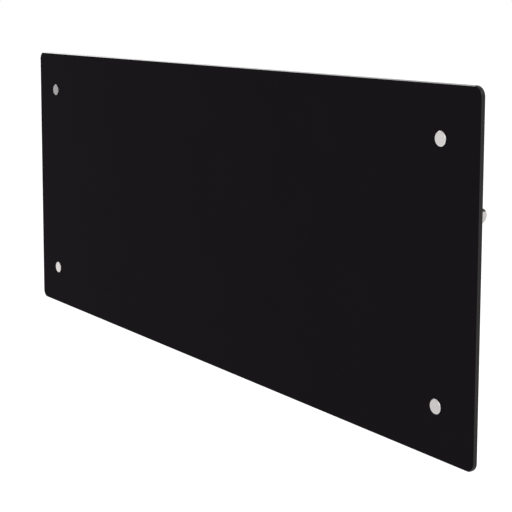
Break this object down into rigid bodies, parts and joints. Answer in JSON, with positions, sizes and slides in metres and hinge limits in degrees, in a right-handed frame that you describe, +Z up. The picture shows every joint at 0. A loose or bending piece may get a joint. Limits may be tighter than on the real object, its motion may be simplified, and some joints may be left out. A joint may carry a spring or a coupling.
{
  "type": "infrared panel heater",
  "caption": "Wall-hung infrared panel heater with a black glass front, round steel fixing caps, slim vented casing, side thermostat knob and rocker switch, and hook-on wall bracket.",
  "frame": {"origin": "on the wall plane, at the centre of the wall bracket's four screw holes, which is behind the centre of the glass", "axes": "+X to the right seen from the front, along the heater's length; +Y from the room into the wall; +Z up"},
  "size_m": [0.85, 0.0699, 0.34],
  "materials": {
    "black_glass": "toughened glass, black enamel on its rear face, polished arrises",
    "satin_stainless": "satin turned stainless steel",
    "clear_washer": "clear plastic",
    "nylon": "natural nylon",
    "silicone": "grey silicone",
    "black_rubber": "moulded rubber",
    "zinc_steel": "bright zinc plate",
    "brass": "turned brass",
    "tinned_copper": "tinned copper",
    "black_powder_coat": "fine textured powder coat",
    "galvanised_steel": "galvanised sheet",
    "element_film": "amber film",
    "resistance_foil": "etched resistance foil",
    "aluminium_sheet": "mill finish sheet",
    "fibre_board": "pressed mineral fibre board",
    "black_moulding": "moulded phenolic",
    "ivory_moulding": "moulded thermoset",
    "rocker_moulding": "polished moulding",
    "brown_lead": "heat-resistant insulation",
    "blue_lead": "heat-resistant insulation",
    "earth_lead": "green and yellow insulation",
    "black_nylon": "moulded nylon",
    "knob_moulding": "satin light grey moulding",
    "marker_moulding": "satin dark moulding"
  },
  "bodies": {
    "wall_bracket": {"upright_left": "galvanised_steel", "upright_right": "galvanised_steel", "crossbar": "galvanised_steel", "crossbar_rivets": "zinc_steel", "bracket_pads": "black_rubber"},
    "heater": {"glass_front": "black_glass", "fixing_caps": "satin_stainless", "cap_washers": "clear_washer", "glass_sleeves": "nylon", "isolator_washers": "silicone", "steel_washers": "zinc_steel", "fixing_nuts": "zinc_steel", "gasket_strips": "silicone", "casing_top_rail": "black_powder_coat", "casing_bottom_rail": "black_powder_coat", "casing_left_end": "black_powder_coat", "casing_right_end": "black_powder_coat", "rear_cover": "black_powder_coat", "cover_screws": "zinc_steel", "element_front_film": "element_film", "heating_track": "resistance_foil", "element_rear_film": "element_film", "element_tabs": "brass", "heat_spreader": "aluminium_sheet", "insulation_board": "fibre_board", "retaining_bars": "galvanised_steel", "partition": "galvanised_steel", "casing_rivets": "zinc_steel", "lead_grommets": "black_rubber", "thermal_cutout": "black_moulding", "thermostat_body": "black_moulding", "thermostat_bush": "brass", "bush_nut": "zinc_steel", "switch_housing": "black_moulding", "terminal_block": "ivory_moulding", "terminal_screws": "brass", "earth_stud": "brass", "earth_nuts": "brass", "earth_ring": "tinned_copper", "live_lead": "brown_lead", "switched_lead": "brown_lead", "cutout_lead": "brown_lead", "element_lead": "brown_lead", "neutral_lead": "blue_lead", "earth_lead": "earth_lead", "gland_body": "black_nylon", "gland_locknut": "black_nylon", "gland_dome": "black_nylon", "gland_seal": "black_rubber", "hanger_rail": "galvanised_steel", "hanger_rail_rivets": "zinc_steel"},
    "knob": {"knob": "knob_moulding", "knob_marker": "marker_moulding", "spindle": "zinc_steel"},
    "rocker": {"rocker": "rocker_moulding"}
  },
  "joints": [
    {"name": "heater_lift", "type": "slide", "parent": "wall_bracket", "child": "heater", "axis": [0, 0, 1], "range_m": [0, 0.014]},
    {"name": "thermostat_knob", "type": "hinge", "parent": "heater", "child": "knob", "pos_m": [0.385, -0.045, 0.054], "axis": [1, 0, 0], "range_deg": [0, 270]},
    {"name": "on_off_rocker", "type": "hinge", "parent": "heater", "child": "rocker", "pos_m": [0.385, -0.045, 0.005], "axis": [0, 1, 0], "range_deg": [0, 20]}
  ]
}
